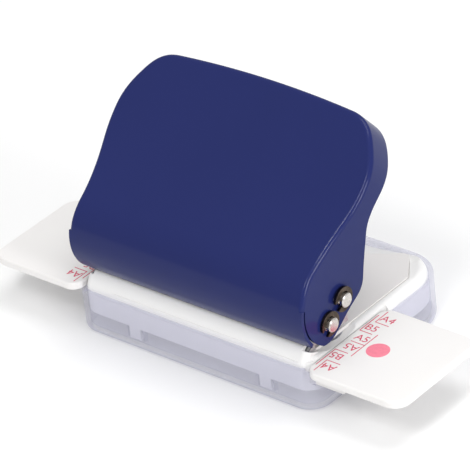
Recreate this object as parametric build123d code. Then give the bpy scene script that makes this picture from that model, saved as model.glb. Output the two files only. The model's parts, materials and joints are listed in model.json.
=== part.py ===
from build123d import *
import math
import os

# Two-hole desk punch.  Millimetres.  X runs along the handle, +Y points to the side where the
# paper goes in, +Z is up.  The origin lies on the surface that the punch stands on, straight
# below the middle of the line between the two punched holes.

# ---- driving dimensions ------------------------------------------------------------------
HOLE_SPACING = 80.0
CUTTER_D = 6.0
RUNNING = 0.05             # radial clearance of every running fit

# chip tray
TRAY_HALF_X = 52.2
TRAY_FRONT_Y = -21.0
TRAY_REAR_Y = 55.5
TRAY_H = 16.1
TRAY_WALL = 1.6
TRAY_FRONT_R = 8.4
TRAY_REAR_R = 17.0
TRAY_BOTTOM_R = 2.0

# base frame
FIT_GAP = 0.4              # frame to tray wall
FRAME_WALL = 1.4
FRAME_TOP = 18.9
SKIRT_BOTTOM = 7.0
LEG_PLACES = (-26.9, 29.5)  # legs between pairs of ribs on the tray wall
RIB_OFFSET = 3.3
DECK_TOP = 18.2
NOSE_R = 7.2               # rounded bar along the hinge side, which also stops the paper
NOSE_HALF_X = 47.6
NOSE_END_WALL = 0.6
CHIP_HOLE_R = 6.6           # through the deck, under each die
RIVET_POCKET_Z = 15.7
FINGER_R = 30.0            # shallow scoop in each side rim
FINGER_DEPTH = 1.6
FINGER_Y = -2.0
STOP_Y = -12.0
SCOOP_R = 210.0
SCOOP_SLOPE = 13.0

# table plate
PLATE_T = 1.2
PLATE_TOP = DECK_TOP + PLATE_T
PLATE_HALF_X = 46.2
PLATE_REAR_Y = 49.4
PLATE_SCOOP_Y = 37.0
PLATE_SCOOP_HALF_X = 36.0
THROAT = 1.6               # paper gap above the plate
SCREW_R = 1.5
SCREW_HEAD_R = 2.8
SCREW_HEAD_T = 2.0
SCREW_TIP = 19.2
FOOT_BACK = 2.1            # bracket foot behind the back web
FOOT_T = 1.2
RIVET_R = 1.2
RIVET_HEAD_R = 2.0
RIVET_DX = 3.6
RIVET_Y = -13.7

# pins
ROD_R = 2.5
ROD_HALF_X = 52.4
FULCRUM = (-8.1, 28.6)     # (y, z)
DRIVE = (-0.4, 33.9)
CLIP_X = 50.1
CLIP_T = 0.9
CLIP_R = 4.4

# handle pressing
SHEET = 1.2
STRIP_CENTRE = (-3.6, 35.2)
STRIP_R = 17.4
STRIP_END_DEG = 226.0
CHEEK_END_DEG = 215.0      # where the side view's outline leaves the strip
SLIT_END_DEG = 240.0
CORE_END_DEG = 245.0
STRIP_TOP_DEG = 166.0
PANEL_START_LEAN = 55.0
PANEL_TOP_LEAN = 42.0
PANEL_R = 260.0
MEAN_LEAN = 48.5
FLANGE_DEPTH = 11.6        # at the top; the sides get shallower downwards
FOLD_R = 1.5
STRIP_HALF_X = 49.9
STRIP_CORNER_R = 3.0
SLIT = 0.6
WELL_HALF_X = 46.6         # room under the rods, between the cheeks
WELL_FRONT_Y = -16.4
WELL_TOP = 25.0
HANDLE_TOP = 57.5          # along the panel from the end of the rolled strip
CORNER_END = (36.8, 56.0)  # where the top edge's shallow arc meets the rounded corner

# gauges
GAUGE_TOP = 17.8
GAUGE_T = 2.7
GAUGE_INNER_X = 49.3
GAUGE_OUTER_X = 88.1
GAUGE_HALF_Y = 21.8
GAUGE_INNER_R = 4.5
GAUGE_OUTER_R = 6.0
RAIL_OUTER_Y = 17.4
RAIL_INNER_Y = 14.4
RAIL_BOTTOM = 10.3
RAIL_END_X = 61.5
RAIL_TAIL_X = -32.0
RAIL_GAP = 0.2
LUG = 2.0

# brackets
EAR_T = 1.2
EAR_IN = 5.5               # cutter axis to the inside of an ear
GUIDE_T = 1.8
SPRING_WIRE = 0.7
SPRING_R = 4.3
SPRING_TURNS = 3.5

STOP_FACE = STOP_Y
THROAT_TOP = PLATE_TOP + THROAT
GUIDE_TOP = THROAT_TOP + GUIDE_T
CUTTER_TOP = DRIVE[1] - ROD_R - 0.2
CUTTER_CLIP_Z = CUTTER_TOP - 1.2
CUTTER_CLIP_T = 0.8
CUTTER_X = HOLE_SPACING / 2

os.makedirs("parts", exist_ok=True)


# ---- helpers -----------------------------------------------------------------------------
def block(x0, x1, y0, y1, z0, z1):
    """Axis-aligned box between two corners."""
    return Pos((x0 + x1) / 2, (y0 + y1) / 2, (z0 + z1) / 2) * Box(x1 - x0, y1 - y0, z1 - z0)


def rod_x(radius, x0, x1, y, z):
    """Round bar along X."""
    return Pos((x0 + x1) / 2, y, z) * Rot(0, 90, 0) * Cylinder(radius, x1 - x0)


def rod_z(radius, z0, z1, x=0.0, y=0.0):
    """Round bar along Z."""
    return Pos(x, y, (z0 + z1) / 2) * Cylinder(radius, z1 - z0)


def yz(points):
    """Points given as (y, z), placed in the plane X = 0."""
    return [Vector(0, y, z) for y, z in points]


def across(face, x0, x1):
    """A face in the plane X = 0, extruded along X from x0 to x1."""
    return Pos(x0, 0, 0) * extrude(face, amount=x1 - x0, dir=(1, 0, 0))


def polar(centre, radius, degrees):
    """The (y, z) point on a circle in the side view."""
    a = math.radians(degrees)
    return (centre[0] + radius * math.cos(a), centre[1] + radius * math.sin(a))


def rounded_plan(half_x, y0, y1, front_r, rear_r):
    """Plan outline with one radius on the two front corners and another on the rear ones."""
    x = half_x
    points = [(-x + front_r, y0), (x - front_r, y0), (x, y0 + front_r), (x, y1 - rear_r)]
    points += [(x - rear_r, y1), (-x + rear_r, y1), (-x, y1 - rear_r), (-x, y0 + front_r)]
    radii = [front_r, rear_r, rear_r, front_r]
    edges = []
    for i in range(4):
        a, b = points[2 * i], points[2 * i + 1]
        edges.append(Line(a, b))
        edges.append(RadiusArc(b, points[(2 * i + 2) % 8], -radii[i]))
    return make_face(Wire(edges))


def save(shape, name):
    """Writes one node."""
    export_step(shape, f"parts/{name}.step")


# ---- chip tray ---------------------------------------------------------------------------
def chip_tray():
    outer = extrude(rounded_plan(TRAY_HALF_X, TRAY_FRONT_Y, TRAY_REAR_Y, TRAY_FRONT_R,
                                 TRAY_REAR_R), TRAY_H)
    outer = fillet(outer.faces().sort_by(Axis.Z)[0].edges(), TRAY_BOTTOM_R)
    w = TRAY_WALL
    inner_plan = rounded_plan(TRAY_HALF_X - w, TRAY_FRONT_Y + w, TRAY_REAR_Y - w,
                              TRAY_FRONT_R - w, TRAY_REAR_R - w)
    inner = Pos(0, 0, w) * extrude(inner_plan, TRAY_H)
    inner = fillet(inner.faces().sort_by(Axis.Z)[0].edges(), 1.0)
    tray = outer - inner
    for side in (1, -1):
        tray -= tray_notches(side)
        for leg_x in LEG_PLACES:
            x0 = leg_x + side * RIB_OFFSET
            for y0, y1 in ((TRAY_FRONT_Y + 1.0, TRAY_FRONT_Y + 3.9), (51.2, TRAY_REAR_Y - 1.0)):
                tray += block(x0 - 0.5, x0 + 0.5, y0, y1, 1.0, SKIRT_BOTTOM - 0.6)
    return tray


def tray_notches(side):
    """Room in one side wall for a gauge and its rail."""
    reach = GAUGE_HALF_Y + 0.9
    x0, x1 = sorted((side * 47.2, side * (TRAY_HALF_X + 1)))
    notch = block(x0, x1, -reach, reach, GAUGE_TOP - GAUGE_T - 0.3, TRAY_H + 1)
    y0, y1 = sorted((-side * (RAIL_OUTER_Y + 0.4), -side * (RAIL_INNER_Y - 0.4)))
    return notch + block(x0, x1, y0, y1, RAIL_BOTTOM - 0.4, TRAY_H + 1)


# ---- base frame --------------------------------------------------------------------------
def frame_bounds():
    """Half width, front and rear of the frame, which drops into the tray."""
    gap = TRAY_WALL + FIT_GAP
    return TRAY_HALF_X - gap, TRAY_FRONT_Y + gap, TRAY_REAR_Y - gap


def frame_nose(inset=0.0):
    """The rounded bar along the hinge side: a quarter round with a flat back at the stop."""
    front = frame_bounds()[1]
    centre = (front + NOSE_R, TRAY_H)
    r = NOSE_R - inset
    low = centre[1] - 4.0
    back = STOP_FACE
    crest = polar(centre, r, math.degrees(math.acos((back - centre[0]) / r)))
    arc = ThreePointArc(*yz([(centre[0] - r, centre[1]), polar(centre, r, 135), crest]))
    rest = Polyline(*yz([crest, (back, low), (centre[0] - r, low), (centre[0] - r, centre[1])]))
    return make_face(Wire([arc] + list(rest.edges())))


def scoop():
    """A shallow tilted round that lowers the paper side of the frame."""
    dip = 1.2
    bar = Pos(0, PLATE_SCOOP_Y, DECK_TOP - dip) * Rot(90 - SCOOP_SLOPE, 0, 0)
    return bar * Pos(0, SCOOP_R, 0) * Cylinder(SCOOP_R, 120.0)


def plate_plan(grow=0.0):
    """Plan outline of the table plate, with its curved cut-out on the paper side."""
    x = PLATE_HALF_X + grow
    y0 = STOP_FACE - 3.8 - grow
    y1 = PLATE_REAR_Y + grow
    cut = PLATE_SCOOP_HALF_X
    side = Line((x, y0), (x, y1 - 11.0))
    corner = Line((x, y1 - 11.0), (cut + 2.5, y1))
    lip = Line((cut + 2.5, y1), (cut, y1))
    arc = ThreePointArc((cut, y1), (0, PLATE_SCOOP_Y + grow), (-cut, y1))
    mirror_lip = Line((-cut, y1), (-cut - 2.5, y1))
    mirror_corner = Line((-cut - 2.5, y1), (-x, y1 - 11.0))
    mirror_side = Line((-x, y1 - 11.0), (-x, y0))
    back = Line((-x, y0), (x, y0))
    outline = Wire([side, corner, lip, arc, mirror_lip, mirror_corner, mirror_side, back])
    return make_face(outline)


def rail_guide(side):
    """A closed channel under the deck for one gauge's rail, with a slot for its end lug."""
    y_in = RAIL_INNER_Y - RAIL_GAP
    y_out = RAIL_OUTER_Y + RAIL_GAP
    low, high = RAIL_BOTTOM - RAIL_GAP, GAUGE_TOP - GAUGE_T + RAIL_GAP
    half_x = frame_bounds()[0]

    def place(x0, x1, y0, y1, z0, z1):
        xa, xb = sorted((side * x0, side * x1))
        ya, yb = sorted((-side * y0, -side * y1))
        return block(xa, xb, ya, yb, z0, z1)

    body = place(RAIL_TAIL_X - 3, half_x - 0.4, y_in - FRAME_WALL, y_out + FRAME_WALL,
                 low - FRAME_WALL, DECK_TOP - 0.3)
    channel = place(RAIL_TAIL_X - 4, half_x + 1, y_in, y_out, low, high)
    lug_z = (low + high) / 2
    stop_x = RAIL_TAIL_X + LUG + 60.4
    lug_slot = place(RAIL_TAIL_X - 4, stop_x, y_in - FRAME_WALL - 1, y_in + 0.1,
                     lug_z - 1.0, lug_z + 1.0)
    return body, channel + lug_slot


def base_frame():
    half_x, front, rear = frame_bounds()
    front_r, rear_r = TRAY_FRONT_R - 1.9, TRAY_REAR_R - 2.0
    w = FRAME_WALL
    body = Pos(0, 0, SKIRT_BOTTOM) * extrude(
        rounded_plan(half_x, front, rear, front_r, rear_r), FRAME_TOP - SKIRT_BOTTOM)
    body = fillet(body.faces().sort_by(Axis.Z)[-1].edges(), 3.2)
    inside = Pos(0, 0, SKIRT_BOTTOM - 1) * extrude(
        rounded_plan(half_x - w, front + w, rear - w, front_r - w, rear_r - w),
        DECK_TOP - w - SKIRT_BOTTOM + 1)
    nose = across(frame_nose(), -NOSE_HALF_X, NOSE_HALF_X)
    ends = nose.faces().sort_by(Axis.X)
    top_arc = [e for f in (ends[0], ends[-1]) for e in f.edges().filter_by(GeomType.CIRCLE)]
    nose = fillet(top_arc, 2.4)
    hollow_x = NOSE_HALF_X - NOSE_END_WALL
    nose_hollow = across(frame_nose(w), -hollow_x, hollow_x)
    body -= inside - Pos(0, 0, -w) * scoop()
    body -= scoop()
    pocket = extrude(Pos(0, 0, DECK_TOP) * plate_plan(0.3), 10)
    body -= pocket
    body += nose
    seat = extrude(Pos(0, 0, DECK_TOP) * plate_plan(0.3), PLATE_T + 0.1)
    body -= seat
    body -= nose_hollow & block(-60, 60, -30, STOP_FACE - w, DECK_TOP, 30)
    for side in (1, -1):
        channel_body, cut = rail_guide(side)
        trim = extrude(rounded_plan(half_x, front, rear, front_r, rear_r), 40)
        body += channel_body & trim
        body -= cut
        body -= gauge_recess(side)
        body -= frame_openings(side)
    for leg in snap_legs():
        body += leg
    for x, y in plate_screw_places():
        body -= rod_z(SCREW_R + 0.05, 10, 30, x, y)
    return body


def gauge_recess(side):
    """The step in the frame's edge that a gauge's inner end rests in, and its finger scoop."""
    reach = GAUGE_HALF_Y + 0.4
    x0, x1 = sorted((side * (GAUGE_INNER_X - 0.3), side * 60))
    step = block(x0, x1, -reach, reach, GAUGE_TOP - GAUGE_T - 0.1, 40)
    x0, x1 = sorted((side * (PLATE_HALF_X - 1.2), side * 60))
    slot = rod_x(FINGER_R, x0, x1, FINGER_Y, FRAME_TOP - FINGER_DEPTH + FINGER_R)
    return step + slot


def frame_openings(side):
    """Holes in the deck for the chips, the bracket rivets and the bracket itself."""
    x = side * CUTTER_X
    holes = rod_z(CHIP_HOLE_R, SKIRT_BOTTOM, 30, x, 0)
    for dx in (-RIVET_DX, RIVET_DX):
        holes += rod_z(RIVET_HEAD_R + 0.4, RIVET_POCKET_Z, 19.0, x + dx, RIVET_Y)
    gap = EAR_IN + EAR_T + 0.3
    return holes + block(x - gap, x + gap, STOP_FACE - 1.6, STOP_FACE + 1, DECK_TOP, 40)


def snap_legs():
    """Legs that reach down between the tray's ribs, two on each long wall."""
    _, front, rear = frame_bounds()
    legs = []
    for x in LEG_PLACES:
        for y0, y1 in ((front, front + FRAME_WALL), (rear - FRAME_WALL, rear)):
            legs.append(block(x - 2.4, x + 2.4, y0, y1, 2.6, SKIRT_BOTTOM + 1))
    return legs


# ---- table plate, dies and brackets ------------------------------------------------------
def table_plate():
    plate = extrude(Pos(0, 0, DECK_TOP) * plate_plan(), PLATE_T)
    corners = plate.edges().filter_by(Axis.Z).filter_by(lambda e: e.center().Y > 30)
    plate = fillet(corners, 2.0)
    for side in (1, -1):
        x = side * CUTTER_X
        plate -= rod_z(5.0, 10, 30, x, 0)
        for dx in (-RIVET_DX, RIVET_DX):
            plate -= rod_z(RIVET_R, 10, 30, x + dx, RIVET_Y)
    for x, y in plate_screw_places():
        plate -= rod_z(SCREW_R, 10, SCREW_TIP, x, y)
    return plate


def plate_screw_places():
    """Screws that hold the plate to the frame, driven from beneath."""
    return [(s * x, y) for s in (1, -1) for x, y in ((20.0, 4.0), (30.0, 33.0))]


def plate_screws():
    """Pan-head screws under the deck, with a cross recess, blind in the plate."""
    seat = DECK_TOP - FRAME_WALL
    low = seat - SCREW_HEAD_T
    group = []
    for x, y in plate_screw_places():
        screw = rod_z(SCREW_HEAD_R, low, seat, x, y) + rod_z(SCREW_R, seat, SCREW_TIP, x, y)
        screw -= block(x - 1.6, x + 1.6, y - 0.3, y + 0.3, low - 1, low + 0.9)
        screw -= block(x - 0.3, x + 0.3, y - 1.6, y + 1.6, low - 1, low + 0.9)
        group.append(screw)
    return group


def die(side):
    x = side * CUTTER_X
    ring = rod_z(5.0, PLATE_TOP - 2.5, PLATE_TOP, x, 0)
    ring += rod_z(6.0, PLATE_TOP - 2.5, PLATE_TOP - PLATE_T, x, 0)
    ring -= rod_z(CUTTER_D / 2 + RUNNING, 0, 40, x, 0)
    return ring - rod_z(CUTTER_D / 2 + 0.5, 0, PLATE_TOP - 1.6, x, 0)


def ear_face():
    """Side view of a bracket's ear: a C around the paper gap, with an eye for the fulcrum."""
    eye_r = 5.0
    y, z = FULCRUM
    left = STOP_FACE - 1.1
    reach = 5.4
    low = THROAT_TOP
    top = 25.3
    foot_z = PLATE_TOP
    foot_top = foot_z + FOOT_T
    heel = left - FOOT_BACK
    base = Polyline(*yz([(heel, foot_z), (STOP_FACE, foot_z), (STOP_FACE, low),
                         (reach, low), (reach, top), (y + eye_r, top), (y + eye_r, z)]))
    eye = ThreePointArc(*yz([(y + eye_r, z), (y, z + eye_r), (y - eye_r, z)]))
    shin = Polyline(*yz([(y - eye_r, z), (left, foot_top + 1.0), (heel, foot_top),
                         (heel, foot_z)]))
    return make_face(Wire(list(base.edges()) + [eye] + list(shin.edges())))


def punch_bracket(side):
    x = side * CUTTER_X
    ear = ear_face()
    bracket = across(ear, x - EAR_IN - EAR_T, x - EAR_IN)
    bracket += across(ear, x + EAR_IN, x + EAR_IN + EAR_T)
    y, z = FULCRUM
    web_y = STOP_FACE - 1.1
    inner = EAR_IN + 0.2
    bracket += block(x - inner, x + inner, web_y, STOP_FACE, PLATE_TOP, 27.5)
    bracket += block(x - inner, x + inner, web_y - FOOT_BACK, STOP_FACE, PLATE_TOP, PLATE_TOP + FOOT_T)
    bracket += block(x - inner, x + inner, -4.6, 5.4, THROAT_TOP, GUIDE_TOP)
    bracket -= rod_x(ROD_R, x - 20, x + 20, y, z)
    bracket -= rod_z(CUTTER_D / 2 + RUNNING, 10, 40, x, 0)
    for dx in (-RIVET_DX, RIVET_DX):
        bracket -= rod_z(RIVET_R, 10, PLATE_TOP + FOOT_T, x + dx, RIVET_Y)
    return bracket


def bracket_rivets(side):
    """Two rivets through the bracket's foot and the plate."""
    group = []
    for dx in (-RIVET_DX, RIVET_DX):
        x, y = side * CUTTER_X + dx, RIVET_Y
        shank = rod_z(RIVET_R, DECK_TOP - 0.8, PLATE_TOP + FOOT_T, x, y)
        head = rod_z(RIVET_HEAD_R, DECK_TOP - 1.2, DECK_TOP, x, y)
        group.append(shank + head)
    return group


# ---- rods and clips ----------------------------------------------------------------------
def shaft(place):
    """A rod with chamfered ends and a groove for a clip near each end."""
    y, z = place
    rod = rod_x(ROD_R, -ROD_HALF_X, ROD_HALF_X, y, z)
    rod = chamfer(rod.edges().filter_by(GeomType.CIRCLE), 0.35)
    for side in (1, -1):
        x0, x1 = sorted((side * CLIP_X, side * (CLIP_X + CLIP_T)))
        rod -= rod_x(ROD_R + 1, x0, x1, y, z) - rod_x(ROD_R - 0.5, x0, x1, y, z)
    return rod


def e_clip(side, place, turn):
    """An open retaining ring in the groove of a rod."""
    y, z = place
    x0, x1 = sorted((side * CLIP_X, side * (CLIP_X + CLIP_T)))
    ring = rod_x(CLIP_R, x0, x1, y, z) - rod_x(ROD_R + 0.35, x0, x1, y, z)
    teeth = rod_x(ROD_R + 0.6, x0, x1, y, z) - rod_x(ROD_R - 0.5, x0, x1, y, z)
    lobes = None
    for a in (0, 115, -115):
        cy, cz = polar(place, ROD_R, a + turn)
        lobe = rod_x(1.1, x0, x1, cy, cz)
        lobes = lobe if lobes is None else lobes + lobe
    clip = ring + (teeth & lobes)
    mouth_centre = polar(place, CLIP_R, 180 + turn)
    mouth = Pos((x0 + x1) / 2, *mouth_centre) * Rot(turn, 0, 0) * Box(2, CLIP_R * 2, 3.4)
    return clip - mouth


def cutter(side):
    """A punch pin with a hollow-ground end and a groove for its spring clip."""
    x = side * CUTTER_X
    pin = rod_z(CUTTER_D / 2, THROAT_TOP + 0.1, CUTTER_TOP, x, 0)
    pin -= rod_x(9.0, x - 10, x + 10, 0, THROAT_TOP - 8.35)
    z0, z1 = CUTTER_CLIP_Z, CUTTER_CLIP_Z + CUTTER_CLIP_T
    pin -= rod_z(CUTTER_D, z0, z1, x, 0) - rod_z(CUTTER_D / 2 - 0.6, z0, z1, x, 0)
    return pin


def cutter_clip(side):
    x = side * CUTTER_X
    z0, z1 = CUTTER_CLIP_Z, CUTTER_CLIP_Z + CUTTER_CLIP_T
    ring = rod_z(5.0, z0, z1, x, 0) - rod_z(CUTTER_D / 2 - 0.6, z0, z1, x, 0)
    return ring - block(x - 2.0, x + 2.0, 0, 6, z0 - 1, z1 + 1)


def return_spring(side):
    """A round-wire compression spring between the lower guide and the cutter's clip."""
    r = SPRING_WIRE / 2
    low, high = GUIDE_TOP + r + 0.05, CUTTER_CLIP_Z - r - 0.05
    path = Helix(pitch=(high - low) / SPRING_TURNS, height=high - low, radius=SPRING_R)
    section = Plane(origin=path @ 0, z_dir=path % 0) * Circle(r)
    coil = sweep(section, path=path, is_frenet=True)
    return Pos(side * CUTTER_X, 0, low) * coil


# ---- handle ------------------------------------------------------------------------------
def panel_points():
    """Where the rolled strip ends and the panel begins, and the centre of the panel's curve."""
    lean = math.radians(PANEL_START_LEAN)
    out = (-math.cos(lean), math.sin(lean))
    start = (STRIP_CENTRE[0] + STRIP_R * out[0], STRIP_CENTRE[1] + STRIP_R * out[1])
    centre = (start[0] + PANEL_R * out[0], start[1] + PANEL_R * out[1])
    return start, centre


def panel_arc(depth, lean_a, lean_b):
    """Side view of a surface at a depth behind the panel, between two leans."""
    centre = panel_points()[1]
    r = PANEL_R + depth
    leans = (lean_a, (lean_a + lean_b) / 2, lean_b)
    return ThreePointArc(*yz([polar(centre, r, -a) for a in leans]))


def strip_arc(depth, deg_a, deg_b):
    """Side view of a surface at a depth behind the rolled strip."""
    r = STRIP_R - depth
    angles = (deg_a, (deg_a + deg_b) / 2, deg_b)
    return ThreePointArc(*yz([polar(STRIP_CENTRE, r, a) for a in angles]))


def side_face():
    """Side view of the whole handle: panel, flange edge and the lobe around the fulcrum."""
    top_lean = PANEL_TOP_LEAN - 3
    strip_top = 180 - PANEL_START_LEAN
    front = [strip_arc(0, CHEEK_END_DEG, strip_top), panel_arc(0, PANEL_START_LEAN, top_lean)]
    rear_top = Vector(0, *polar(panel_points()[1], PANEL_R + FLANGE_DEPTH, -top_lean))
    top = Line(front[1] @ 1, rear_top)
    lobe_c, lobe_r = (-9.3, 29.3), 8.0
    heel = (11.1, 36.0)
    flank = Spline(rear_top, *yz([(27.0, 68.6), (17.6, 62.6), (12.9, 56.6), (12.0, 50.0)]),
                   Vector(0, *heel), tangents=(Vector(0, -0.72, -0.69), Vector(0, -0.05, -1)))
    toe = (7.2, 29.6)
    heel_arc = Spline(Vector(0, *heel), Vector(0, *toe),
                      tangents=(Vector(0, -0.05, -1), Vector(0, -0.866, -0.5)))
    lobe_a = polar(lobe_c, lobe_r, -60)
    lobe_b = polar(lobe_c, lobe_r, -90)
    lobe_e = polar(lobe_c, lobe_r, 196)
    sole = Line(Vector(0, *toe), Vector(0, *lobe_a))
    lobe = ThreePointArc(*yz([lobe_a, lobe_b, polar(lobe_c, lobe_r, 230)]))
    lobe_2 = ThreePointArc(*yz([polar(lobe_c, lobe_r, 230), polar(lobe_c, lobe_r, 213), lobe_e]))
    inner_end = polar(STRIP_CENTRE, STRIP_R - SHEET, CHEEK_END_DEG)
    close = [Line(Vector(0, *lobe_e), Vector(0, *inner_end)), Line(Vector(0, *inner_end), front[0] @ 0)]
    return make_face(Wire(front + [top, flank, heel_arc, sole, lobe, lobe_2] + close))


def front_outline(inset):
    """The handle's outline in the plane of the panel, s across and t up along it."""
    waist = [(49.9, -12.0), (49.4, -2.0), (51.5, 18.0), (53.4, 33.0)]
    waist = [(s - inset, t) for s, t in waist]
    low = (49.9 - inset, -60.0)
    corner_mid = (49.0 - 0.72 * inset, 47.3 - 0.7 * inset)
    corner_end = (CORNER_END[0], CORNER_END[1] - inset)
    crown = (0.0, HANDLE_TOP - inset)
    rise = HANDLE_TOP - CORNER_END[1]
    crown_r = (CORNER_END[0] ** 2 + rise ** 2) / (2 * rise)
    slope = CORNER_END[0] / (crown_r - rise)
    right = [Line(low, waist[0]),
             Spline(*waist, tangents=((0, 1), (0, 1))),
             Spline(waist[3], corner_mid, corner_end, tangents=((0, 1), (-1, slope)))]
    across_top = ThreePointArc(corner_end, crown, (-corner_end[0], corner_end[1]))
    left = [e.mirror(Plane.YZ) for e in right]
    bottom = Line((-low[0], low[1]), low)
    return make_face(Wire(right + [across_top] + left + [bottom]))


def outline_prism(inset):
    """The outline carried through the handle at right angles to the panel."""
    start = panel_points()[0]
    lean = math.radians(MEAN_LEAN)
    inward = Vector(0, math.cos(lean), -math.sin(lean))
    plane = Plane(origin=(0, start[0], start[1]), x_dir=(-1, 0, 0), z_dir=inward)
    return plane.offset(-40) * extrude(front_outline(inset), 110)


def on_front(edge, depth):
    """True for an edge that runs along the rim of the panel or the strip."""
    centre = panel_points()[1]
    ends = [edge @ t for t in (0.0, 0.25, 0.5, 0.75, 1.0)]
    for p in ends:
        to_strip = math.hypot(p.Y - STRIP_CENTRE[0], p.Z - STRIP_CENTRE[1])
        to_panel = math.hypot(p.Y - centre[0], p.Z - centre[1])
        if abs(to_strip - STRIP_R + depth) > 0.02 and abs(to_panel - PANEL_R - depth) > 0.02:
            return False
    flat = abs(ends[0].Y - ends[4].Y) < 0.02 and abs(ends[0].Z - ends[4].Z) < 0.02
    return not (flat and abs(ends[0].Y - ends[2].Y) < 0.02)


def handle_core():
    """The space inside the sheet: the same outline set in by its thickness."""
    top_lean = PANEL_TOP_LEAN - 3
    strip_top = 180 - PANEL_START_LEAN
    front = [strip_arc(SHEET, CORE_END_DEG, strip_top),
             panel_arc(SHEET, PANEL_START_LEAN, top_lean)]
    far = Polyline(front[1] @ 1, Vector(0, 75, 70), Vector(0, 75, 0), front[0] @ 0)
    face = make_face(Wire(front + list(far.edges())))
    core = across(face, -70, 70) & outline_prism(SHEET)
    return fillet([e for e in core.edges() if on_front(e, SHEET)], FOLD_R - SHEET)


def handle_shell():
    body = across(side_face(), -70, 70) & outline_prism(0.0)
    body = fillet([e for e in body.edges() if on_front(e, 0.0)], FOLD_R)
    shell = body - handle_core()
    for side in (1, -1):
        shell -= slit_cut(side)
    shell -= block(-WELL_HALF_X, WELL_HALF_X, WELL_FRONT_Y, 20, 15, WELL_TOP)
    shell += rolled_strip()
    for y, z in (FULCRUM, DRIVE):
        fit = RUNNING if (y, z) == FULCRUM else 0.0
        shell -= rod_x(ROD_R + fit, -70, 70, y, z)
    return shell


def strip_sector(depth_a, depth_b, deg_a, deg_b):
    """Side view of a band of the rolled strip between two depths and two angles."""
    outer = strip_arc(depth_a, deg_a, deg_b)
    inner = strip_arc(depth_b, deg_b, deg_a)
    return make_face(Wire([outer, Line(outer @ 1, inner @ 0), inner, Line(inner @ 1, outer @ 0)]))


def slit_cut(side):
    """The relief slit between the rolled strip and a cheek, and the corner outside it."""
    band = strip_sector(-2.0, SHEET + SLIT, STRIP_TOP_DEG, SLIT_END_DEG)
    x0, x1 = sorted((side * (STRIP_HALF_X - 3.4), side * 60))
    return across(band, x0, x1)


def rolled_strip():
    """The strip below the slits, with its two lower corners rounded."""
    band = strip_sector(0, SHEET, STRIP_TOP_DEG, STRIP_END_DEG)
    strip = across(band, -STRIP_HALF_X, STRIP_HALF_X)
    ends = strip.edges().filter_by(lambda e: abs(e.length - SHEET) < 0.01)
    return fillet(ends.sort_by(Axis.Z)[:2], STRIP_CORNER_R)


# ---- gauges ------------------------------------------------------------------------------
def gauge(side):
    """A flat wing with a rail below one edge; the left one is the same part turned round."""
    z0 = GAUGE_TOP - GAUGE_T
    half_y = GAUGE_HALF_Y
    wing = block(GAUGE_INNER_X, GAUGE_OUTER_X, -half_y, half_y, z0, GAUGE_TOP)
    uprights = wing.edges().filter_by(Axis.Z).sort_by(Axis.X)
    wing = fillet(uprights[:2], GAUGE_INNER_R)
    uprights = wing.edges().filter_by(Axis.Z).sort_by(Axis.X)
    wing = fillet(uprights[-2:], GAUGE_OUTER_R)
    wing = fillet(wing.faces().sort_by(Axis.Z)[-1].edges(), 0.7)
    wing = fillet(wing.faces().sort_by(Axis.Z)[0].edges(), 0.4)
    rail = block(RAIL_TAIL_X, RAIL_END_X, -RAIL_OUTER_Y, -RAIL_INNER_Y, RAIL_BOTTOM, z0)
    rail += block(GAUGE_INNER_X + 3, RAIL_END_X, -RAIL_OUTER_Y, -RAIL_INNER_Y, z0 - 1, z0 + 1)
    lug_z = (RAIL_BOTTOM + z0) / 2
    rail += block(RAIL_TAIL_X, RAIL_TAIL_X + LUG, -RAIL_INNER_Y - 1, -RAIL_INNER_Y + 2.2,
                  lug_z - 0.7, lug_z + 0.7)
    part = wing + rail
    return part if side > 0 else Rot(0, 0, 180) * part


# ---- write the nodes ---------------------------------------------------------------------
save(chip_tray(), "chip_tray")
save(base_frame(), "base_frame")
save(table_plate(), "table_plate")
save(Compound(plate_screws()), "plate_screws")
save(handle_shell(), "handle_shell")
save(shaft(FULCRUM), "fulcrum_rod")
save(shaft(DRIVE), "drive_rod")
save(Compound([e_clip(side, FULCRUM, 40) for side in (1, -1)]), "fulcrum_clips")
save(Compound([e_clip(side, DRIVE, 20) for side in (1, -1)]), "drive_clips")
for side, hand in ((-1, "left"), (1, "right")):
    save(punch_bracket(side), f"punch_bracket_{hand}")
    save(Compound(bracket_rivets(side)), f"bracket_rivets_{hand}")
    save(die(side), f"die_{hand}")
    save(cutter(side), f"cutter_{hand}")
    save(cutter_clip(side), f"cutter_clip_{hand}")
    save(return_spring(side), f"return_spring_{hand}")
    save(gauge(side), f"gauge_{hand}")
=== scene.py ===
import json
import math

import bpy
from mathutils import Matrix, Vector


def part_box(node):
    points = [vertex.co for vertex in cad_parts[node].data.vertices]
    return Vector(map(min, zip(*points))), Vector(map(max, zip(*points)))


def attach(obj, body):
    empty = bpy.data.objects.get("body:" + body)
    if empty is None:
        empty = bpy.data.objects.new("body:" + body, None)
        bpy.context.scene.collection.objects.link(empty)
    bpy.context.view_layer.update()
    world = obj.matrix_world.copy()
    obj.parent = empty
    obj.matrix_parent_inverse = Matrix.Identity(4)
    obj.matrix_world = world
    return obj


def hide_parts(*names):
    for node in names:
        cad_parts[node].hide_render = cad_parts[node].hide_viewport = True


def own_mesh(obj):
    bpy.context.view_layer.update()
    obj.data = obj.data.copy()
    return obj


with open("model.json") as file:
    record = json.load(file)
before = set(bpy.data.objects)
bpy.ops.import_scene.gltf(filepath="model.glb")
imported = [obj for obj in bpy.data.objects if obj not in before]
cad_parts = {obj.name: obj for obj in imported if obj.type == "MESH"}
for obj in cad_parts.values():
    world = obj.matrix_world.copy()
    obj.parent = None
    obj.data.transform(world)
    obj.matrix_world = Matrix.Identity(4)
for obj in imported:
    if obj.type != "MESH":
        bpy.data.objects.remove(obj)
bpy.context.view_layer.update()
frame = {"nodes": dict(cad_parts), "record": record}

# Metres, in the frame of the CAD model.
MM = 0.001

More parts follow.
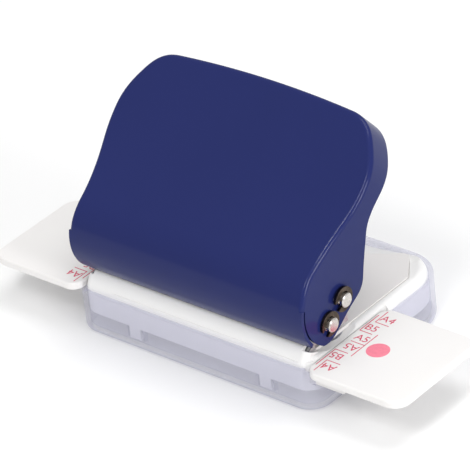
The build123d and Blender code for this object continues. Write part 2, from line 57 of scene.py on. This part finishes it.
# camera, round the middle of the gauges' top faces: angles in degrees, lens and sensor in mm
VIEW_AZIMUTH = 42.78
VIEW_ELEVATION = 31.74
VIEW_ROLL = 6.64
VIEW_DISTANCE = 1.3333
VIEW_SHIFT = (4.43 * MM, 20.08 * MM)     # to the right and up
LENS = 306.4
SENSOR_WIDTH = 36.0
CLIP_END = 50.0

# printed marks in mm: x out from the wing's inner edge, y from the middle of the wing
WING_LENGTH = 38.8
MARK_LINE = 0.32
MARK_HEIGHT = 0.03
MITRE_LIMIT = 0.3
MARK_PATHS = (
    ((8.1, 0.0), (2.4, 0.0)),
    ((8.05, 0.0), (8.05, 7.15)),
    ((6.2, 6.45), (1.1, 6.45), (1.1, 16.8)),
    ((8.1, 12.9), (2.6, 12.9), (2.6, 19.8)),
)
PAPER_SIZES = (("A5", 4.85, 2.85), ("B5", 3.85, 9.3), ("A4", 5.6, 15.8))
TEXT_SIZE = 4.6
DOT_RADIUS = 4.0
DOT_X = 13.6
DOT_SIDES = 64

# return springs
SPRING_WIRE = 0.7 * MM
SPRING_RADIUS = 4.3 * MM
SPRING_TURNS = 4.4
SPRING_STEPS = 40        # to a turn
WIRE_SIDES = 10
END_CLOSING = 0.75       # 0 is an even pitch, 1 has flat ends

# darkest and lightest tone of each finish, as linear colours
NAVY_TONES = ((0.0135, 0.0205, 0.108), (0.0155, 0.0230, 0.122))
FRAME_TONES = ((0.87, 0.865, 0.855), (0.89, 0.885, 0.88))
GAUGE_TONES = ((0.84, 0.82, 0.81), (0.86, 0.845, 0.83))
PLATE_TONES = ((0.84, 0.815, 0.80), (0.87, 0.845, 0.835))
TRAY_TONES = ((0.77, 0.77, 0.82), (0.79, 0.79, 0.84))
ROD_TONES = ((0.60, 0.58, 0.55), (0.80, 0.77, 0.74))
CLIP_TONES = ((0.045, 0.034, 0.026), (0.115, 0.088, 0.068))
BRACKET_TONES = ((0.58, 0.58, 0.60), (0.70, 0.70, 0.71))
CUTTER_TONES = ((0.50, 0.50, 0.51), (0.66, 0.66, 0.67))
WIRE_TONES = ((0.48, 0.48, 0.50), (0.62, 0.62, 0.63))
FLOOR_TONES = ((0.93, 0.93, 0.93), (0.94, 0.94, 0.94))
MARK_COLOUR = (0.68, 0.055, 0.13)
DOT_COLOUR = (0.93, 0.24, 0.33)
TRAY_CLEAR = (0.93, 0.93, 0.97)

# shared looks
NOISE_LOW, NOISE_HIGH = 0.3, 0.7         # the part of the noise a change is spread over
INK_SHADE = 0.9                          # the thin parts of the ink against the full colour
GLOW_RADIUS = (0.002, 0.002, 0.0018)
PLASTIC_SMOOTHER, PLASTIC_ROUGHER = 0.05, 0.06
METAL_SMOOTHER, METAL_ROUGHER = 0.06, 0.08

# studio: each softbox has a direction, a width, a height and a power
FLOOR_HALF = 6.0
SKY_STRENGTH = 0.60
LIGHT_DISTANCE = 1.4
SOFTBOXES = (
    ("key", (0.10, 0.25, 0.96), 0.8, 0.8, 6.5),
    ("side", (0.92, -0.15, 0.36), 0.26, 0.70, 7.5),
    ("fold", (0.12, -0.56, 0.80), 0.26, 0.40, 4.5),
)


# ---- materials ---------------------------------------------------------------------------
def node_tree(name):
    """A new material, its tree, its principled shader and the object coordinates."""
    material = bpy.data.materials.new(name)
    material.use_nodes = True
    tree = material.node_tree
    shader = tree.nodes["Principled BSDF"]
    coords = tree.nodes.new("ShaderNodeTexCoord").outputs["Object"]
    return material, tree, shader, coords


def noise(tree, coords, scale, detail=4.0, stretch=None):
    """Noise on the object's own coordinates, stretched along an axis if asked."""
    if stretch:
        mapping = tree.nodes.new("ShaderNodeMapping")
        mapping.inputs["Scale"].default_value = stretch
        tree.links.new(coords, mapping.inputs["Vector"])
        coords = mapping.outputs["Vector"]
    texture = tree.nodes.new("ShaderNodeTexNoise")
    texture.inputs["Scale"].default_value = scale
    texture.inputs["Detail"].default_value = detail
    tree.links.new(coords, texture.inputs["Vector"])
    return texture.outputs["Fac"]


def ramp_colour(tree, factor, tones, socket, low=NOISE_LOW, high=NOISE_HIGH):
    """A colour between two tones, driven by a factor."""
    ramp = tree.nodes.new("ShaderNodeValToRGB")
    ramp.color_ramp.elements[0].position = low
    ramp.color_ramp.elements[1].position = high
    ramp.color_ramp.elements[0].color = (*tones[0], 1)
    ramp.color_ramp.elements[1].color = (*tones[1], 1)
    tree.links.new(factor, ramp.inputs["Fac"])
    tree.links.new(ramp.outputs["Color"], socket)


def ramp_value(tree, factor, low, high, socket):
    """A value between two, driven by a factor."""
    remap = tree.nodes.new("ShaderNodeMapRange")
    remap.inputs["From Min"].default_value = NOISE_LOW
    remap.inputs["From Max"].default_value = NOISE_HIGH
    remap.inputs["To Min"].default_value = low
    remap.inputs["To Max"].default_value = high
    tree.links.new(factor, remap.inputs["Value"])
    tree.links.new(remap.outputs["Result"], socket)


def bump(tree, factor, depth, strength, shader):
    """A fine relief on the shader's normal."""
    relief = tree.nodes.new("ShaderNodeBump")
    relief.inputs["Distance"].default_value = depth
    relief.inputs["Strength"].default_value = strength
    tree.links.new(factor, relief.inputs["Height"])
    tree.links.new(relief.outputs["Normal"], shader.inputs["Normal"])


def enamel():
    """Glossy navy paint: slight orange peel and faint tone changes."""
    material, tree, shader, coords = node_tree("navy_enamel")
    tone = noise(tree, coords, scale=22.0, detail=3.0)
    ramp_colour(tree, tone, NAVY_TONES, shader.inputs["Base Color"], low=0.0, high=1.0)
    ramp_value(tree, noise(tree, coords, scale=90.0), low=0.30, high=0.36,
               socket=shader.inputs["Roughness"])
    shader.inputs["Specular IOR Level"].default_value = 0.03
    shader.inputs["Coat Weight"].default_value = 0.32
    shader.inputs["Coat Roughness"].default_value = 0.10
    peel = noise(tree, coords, scale=700.0, detail=2.0)
    bump(tree, peel, depth=0.00001, strength=0.1, shader=shader)
    return material


def moulded(name, tones, roughness, glow):
    """Smooth injection-moulded plastic with a fine moulding texture and a little flow tone."""
    material, tree, shader, coords = node_tree(name)
    flow = noise(tree, coords, scale=35.0, detail=5.0)
    ramp_colour(tree, flow, tones, shader.inputs["Base Color"])
    ramp_value(tree, noise(tree, coords, scale=240.0), low=roughness - PLASTIC_SMOOTHER,
               high=roughness + PLASTIC_ROUGHER, socket=shader.inputs["Roughness"])
    shader.inputs["Subsurface Weight"].default_value = glow
    shader.inputs["Subsurface Radius"].default_value = GLOW_RADIUS
    grain = noise(tree, coords, scale=1500.0, detail=2.0)
    bump(tree, grain, depth=0.00002, strength=0.2, shader=shader)
    return material


def painted_plate():
    """Light paint on flat steel, a touch warmer than the plastic and slightly grainy."""
    material, tree, shader, coords = node_tree("plate_paint")
    tone = noise(tree, coords, scale=28.0, detail=6.0)
    ramp_colour(tree, tone, PLATE_TONES, shader.inputs["Base Color"])
    ramp_value(tree, noise(tree, coords, scale=160.0), low=0.34, high=0.46,
               socket=shader.inputs["Roughness"])
    grain = noise(tree, coords, scale=1100.0, detail=3.0)
    bump(tree, grain, depth=0.00003, strength=0.3, shader=shader)
    return material


def frosted():
    """Translucent plastic: most of the light passes straight through a milky wall."""
    material, tree, shader, coords = node_tree("tray_frosted")
    cloud = noise(tree, coords, scale=30.0, detail=5.0)
    ramp_colour(tree, cloud, TRAY_TONES, shader.inputs["Base Color"])
    ramp_value(tree, noise(tree, coords, scale=200.0), low=0.30, high=0.35,
               socket=shader.inputs["Roughness"])
    grain = noise(tree, coords, scale=1300.0, detail=2.0)
    bump(tree, grain, depth=0.00001, strength=0.1, shader=shader)
    clear = tree.nodes.new("ShaderNodeBsdfTransparent")
    clear.inputs["Color"].default_value = (*TRAY_CLEAR, 1)
    mix = tree.nodes.new("ShaderNodeMixShader")
    ramp_value(tree, cloud, low=0.20, high=0.23, socket=mix.inputs["Fac"])
    tree.links.new(clear.outputs["BSDF"], mix.inputs[1])
    tree.links.new(shader.outputs["BSDF"], mix.inputs[2])
    output = tree.nodes["Material Output"]
    tree.links.new(mix.outputs["Shader"], output.inputs["Surface"])
    return material


def metal(name, tones, roughness, stretch):
    """Bare metal with fine turning or rolling lines along one axis."""
    material, tree, shader, coords = node_tree(name)
    shader.inputs["Metallic"].default_value = 1.0
    lines = noise(tree, coords, scale=260.0, detail=6.0, stretch=stretch)
    ramp_colour(tree, lines, tones, shader.inputs["Base Color"])
    ramp_value(tree, noise(tree, coords, scale=420.0), low=roughness - METAL_SMOOTHER,
               high=roughness + METAL_ROUGHER, socket=shader.inputs["Roughness"])
    bump(tree, lines, depth=0.00002, strength=0.35, shader=shader)
    return material


def ink(name, colour):
    """Printed ink: slightly uneven cover."""
    material, tree, shader, coords = node_tree(name)
    thin = tuple(c * INK_SHADE for c in colour)
    cover = noise(tree, coords, scale=900.0, detail=5.0)
    ramp_colour(tree, cover, (thin, colour), shader.inputs["Base Color"])
    ramp_value(tree, noise(tree, coords, scale=1400.0), low=0.42, high=0.55,
               socket=shader.inputs["Roughness"])
    return material


NAVY = enamel()
FRAME_WHITE = moulded("frame_white", FRAME_TONES, roughness=0.36, glow=0.05)
GAUGE_WHITE = moulded("gauge_white", GAUGE_TONES, roughness=0.33, glow=0.06)
PLATE = painted_plate()
TRAY = frosted()
BRIGHT = metal("rod_steel", ROD_TONES, roughness=0.24, stretch=(0.1, 6, 6))
BLACKENED = metal("clip_steel", CLIP_TONES, roughness=0.26, stretch=(6, 1, 1))
ZINC = metal("bracket_zinc", BRACKET_TONES, roughness=0.34, stretch=(1, 1, 6))
GROUND = metal("cutter_steel", CUTTER_TONES, roughness=0.26, stretch=(1, 1, 14))
WIRE = metal("spring_wire", WIRE_TONES, roughness=0.28, stretch=(3, 3, 1))
MARK_INK = ink("mark_ink", MARK_COLOUR)
DOT_INK = ink("dot_ink", DOT_COLOUR)

SLOT_MATERIALS = {
    "tray": TRAY, "frame": FRAME_WHITE, "plate": PLATE, "fixings": ZINC, "handle": NAVY,
    "rods": BRIGHT, "clips": BLACKENED, "bracket": ZINC, "cutting": GROUND, "spring": WIRE,
    "gauge": GAUGE_WHITE,
}


def paint_nodes():
    """Each CAD node takes the material of its slot in the record."""
    for entry in frame["record"]["subparts"]:
        node = frame["nodes"][entry["node"]]
        material = SLOT_MATERIALS[entry["material_slot"]]
        if not node.material_slots:
            node.data.materials.append(material)
        for place in node.material_slots:
            place.material = material


# ---- pieces ------------------------------------------------------------------------------
def piece(name, verts, faces, material):
    """A mesh object with one material."""
    mesh = bpy.data.meshes.new(name)
    mesh.from_pydata(verts, [], faces)
    mesh.update()
    mesh.materials.append(material)
    made = bpy.data.objects.new(name, mesh)
    bpy.context.collection.objects.link(made)
    return made


def coil(hand):
    """A return spring with closed end turns, in place of the plain CAD one."""
    low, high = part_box(f"return_spring_{hand}")
    centre = [(a + b) / 2 for a, b in zip(low, high)]
    height = high[2] - low[2]
    bottom = low[2] + SPRING_WIRE / 2
    rise = height - SPRING_WIRE
    count = int(SPRING_TURNS * SPRING_STEPS)
    ring = WIRE_SIDES
    verts, faces = [], []
    for i in range(count + 1):
        u = i / count
        climb = u - math.sin(2 * math.pi * u) / (2 * math.pi) * END_CLOSING
        angle = 2 * math.pi * SPRING_TURNS * u
        outward = Vector((math.cos(angle), math.sin(angle), 0))
        middle = Vector((centre[0], centre[1], bottom + climb * rise)) + outward * SPRING_RADIUS
        for k in range(ring):
            a = 2 * math.pi * k / ring
            offset = outward * math.cos(a) + Vector((0, 0, math.sin(a)))
            verts.append(middle + offset * SPRING_WIRE / 2)
    for i in range(count):
        for k in range(ring):
            a, b = i * ring + k, i * ring + (k + 1) % ring
            faces.append((a, b, b + ring, a + ring))
    faces.append(tuple(reversed(range(ring))))
    faces.append(tuple(range(count * ring, count * ring + ring)))
    spring = piece(f"coil_{hand}", verts, faces, WIRE)
    for face in spring.data.polygons:
        face.use_smooth = True
    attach(spring, "base")
    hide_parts(f"return_spring_{hand}")
    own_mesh(spring)


def mark_lines(half):
    """The printed lines on one half of a wing, as paths of (x, y) points."""
    return [[(x, half * y) for x, y in path] for path in MARK_PATHS]


def stroke(points, width):
    """A flat mitred line of even width along a path."""
    pts = [Vector((x, y)) for x, y in points]
    verts = []
    for i, p in enumerate(pts):
        before = (p - pts[i - 1]).normalized() if i else None
        after = (pts[i + 1] - p).normalized() if i + 1 < len(pts) else None
        along = before or after
        if before and after:
            along = (before + after).normalized()
        normal = Vector((-along.y, along.x))
        square = Vector((-(before or after).y, (before or after).x))
        reach = width / 2 / max(MITRE_LIMIT, normal.dot(square))
        verts += [p + normal * reach, p - normal * reach]
    faces = [(2 * i, 2 * i + 1, 2 * i + 3, 2 * i + 2) for i in range(len(pts) - 1)]
    return verts, faces


def printed(name, flat, faces, place, body, material):
    """A thin printed layer on a wing, from flat points in mm."""
    count = len(flat)
    verts = [place @ Vector((v[0], v[1], z)) for z in (0.0, MARK_HEIGHT) for v in flat]
    solid = [tuple(reversed(f)) for f in faces] + [tuple(i + count for i in f) for f in faces]
    edges = [edge for face in faces for edge in zip(face, face[1:] + face[:1])]
    for a, b in edges:
        if (b, a) not in edges:
            solid.append((a, b, b + count, a + count))
    layer = piece(name, verts, solid, material)
    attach(layer, body)


def lettering(name, words, spot, turned, place, body):
    """A generic paper size, printed flat on the wing."""
    font = bpy.data.curves.new(name, "FONT")
    font.body = words
    font.size = TEXT_SIZE
    font.align_x = "CENTER"
    font.align_y = "CENTER"
    font.extrude = MARK_HEIGHT / 2
    font.materials.append(MARK_INK)
    text = bpy.data.objects.new(name, font)
    bpy.context.collection.objects.link(text)
    turn = Matrix.Rotation(math.pi if turned else 0.0, 4, "Z")
    shift = Matrix.Translation((spot[0], spot[1], MARK_HEIGHT / 2))
    text.matrix_world = place @ shift @ turn
    bpy.context.view_layer.update()
    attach(text, body)


def wing_marks(hand):
    """All that is printed on one wing; the left wing is the right one turned round."""
    low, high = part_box(f"gauge_{hand}")
    outer = max(abs(low[0]), abs(high[0])) / MM
    spin = Matrix.Rotation(0.0 if hand == "right" else math.pi, 4, "Z")
    inner_edge = Matrix.Translation((outer - WING_LENGTH, 0, high[2] / MM))
    place = Matrix.Scale(MM, 4) @ spin @ inner_edge
    body = f"gauge_{hand}"
    for half, tag in ((1, "far"), (-1, "near")):
        for i, path in enumerate(mark_lines(half)):
            if i == 0 and half < 0:
                continue                 # the middle line is drawn once
            flat, faces = stroke(path, MARK_LINE)
            printed(f"line_{hand}_{tag}_{i}", flat, faces, place, body, MARK_INK)
        for words, x, y in PAPER_SIZES:
            lettering(f"size_{words}_{hand}_{tag}", words, (x, half * y), half < 0, place, body)
    angles = [2 * math.pi * k / DOT_SIDES for k in range(DOT_SIDES)]
    rim = [(DOT_X + DOT_RADIUS * math.cos(a), DOT_RADIUS * math.sin(a)) for a in angles]
    printed(f"dot_{hand}", rim, [tuple(range(DOT_SIDES))], place, body, DOT_INK)


# ---- studio ------------------------------------------------------------------------------
def floor():
    """A plain pale floor at the level the punch stands on."""
    half = FLOOR_HALF
    material, tree, shader, coords = node_tree("studio_floor")
    tone = noise(tree, coords, scale=3.0)
    ramp_colour(tree, tone, FLOOR_TONES, shader.inputs["Base Color"])
    ramp_value(tree, tone, low=0.80, high=0.86, socket=shader.inputs["Roughness"])
    verts = [(-half, -half, 0), (half, -half, 0), (half, half, 0), (-half, half, 0)]
    piece("studio_floor", verts, [(0, 1, 2, 3)], material)


def softbox(name, direction, width, height, power):
    """A rectangular area light that faces the punch."""
    light = bpy.data.lights.new(name, "AREA")
    light.energy = power
    light.shape = "RECTANGLE"
    light.size = width
    light.size_y = height
    lamp = bpy.data.objects.new(name, light)
    lamp.location = Vector(direction).normalized() * LIGHT_DISTANCE
    lamp.rotation_euler = Vector(direction).to_track_quat("Z", "Y").to_euler()
    bpy.context.collection.objects.link(lamp)


def studio():
    """Plain soft light from all round, a softbox overhead and two narrow ones for the folds."""
    world = bpy.data.worlds.new("studio")
    world.use_nodes = True
    sky = world.node_tree.nodes["Background"]
    sky.inputs["Color"].default_value = (1.0, 1.0, 1.0, 1)
    sky.inputs["Strength"].default_value = SKY_STRENGTH
    bpy.context.scene.world = world
    for name, direction, width, height, power in SOFTBOXES:
        softbox(name, direction, width, height, power)
    bpy.context.scene.view_settings.view_transform = "Standard"


def camera():
    """The camera on the hinge side, looking down, with a slight roll."""
    angles = (VIEW_AZIMUTH, VIEW_ELEVATION, VIEW_ROLL)
    azimuth, elevation, roll = (math.radians(a) for a in angles)
    back = Vector((math.sin(azimuth) * math.cos(elevation),
                   -math.cos(azimuth) * math.cos(elevation), math.sin(elevation)))
    right = Vector((math.cos(azimuth), math.sin(azimuth), 0))
    up = back.cross(right)
    target = Vector((0, 0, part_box("gauge_right")[1][2]))
    place = target + back * VIEW_DISTANCE + right * VIEW_SHIFT[0] + up * VIEW_SHIFT[1]
    across = right * math.cos(roll) - up * math.sin(roll)
    upward = right * math.sin(roll) + up * math.cos(roll)
    turn = Matrix((across, upward, back)).transposed().to_4x4()
    data = bpy.data.cameras.new("camera")
    data.lens = LENS
    data.sensor_width = SENSOR_WIDTH
    data.clip_end = CLIP_END
    eye = bpy.data.objects.new("camera", data)
    eye.matrix_world = Matrix.Translation(place) @ turn
    bpy.context.collection.objects.link(eye)
    bpy.context.scene.camera = eye


paint_nodes()
for hand in ("left", "right"):
    coil(hand)
    wing_marks(hand)
floor()
studio()
camera()
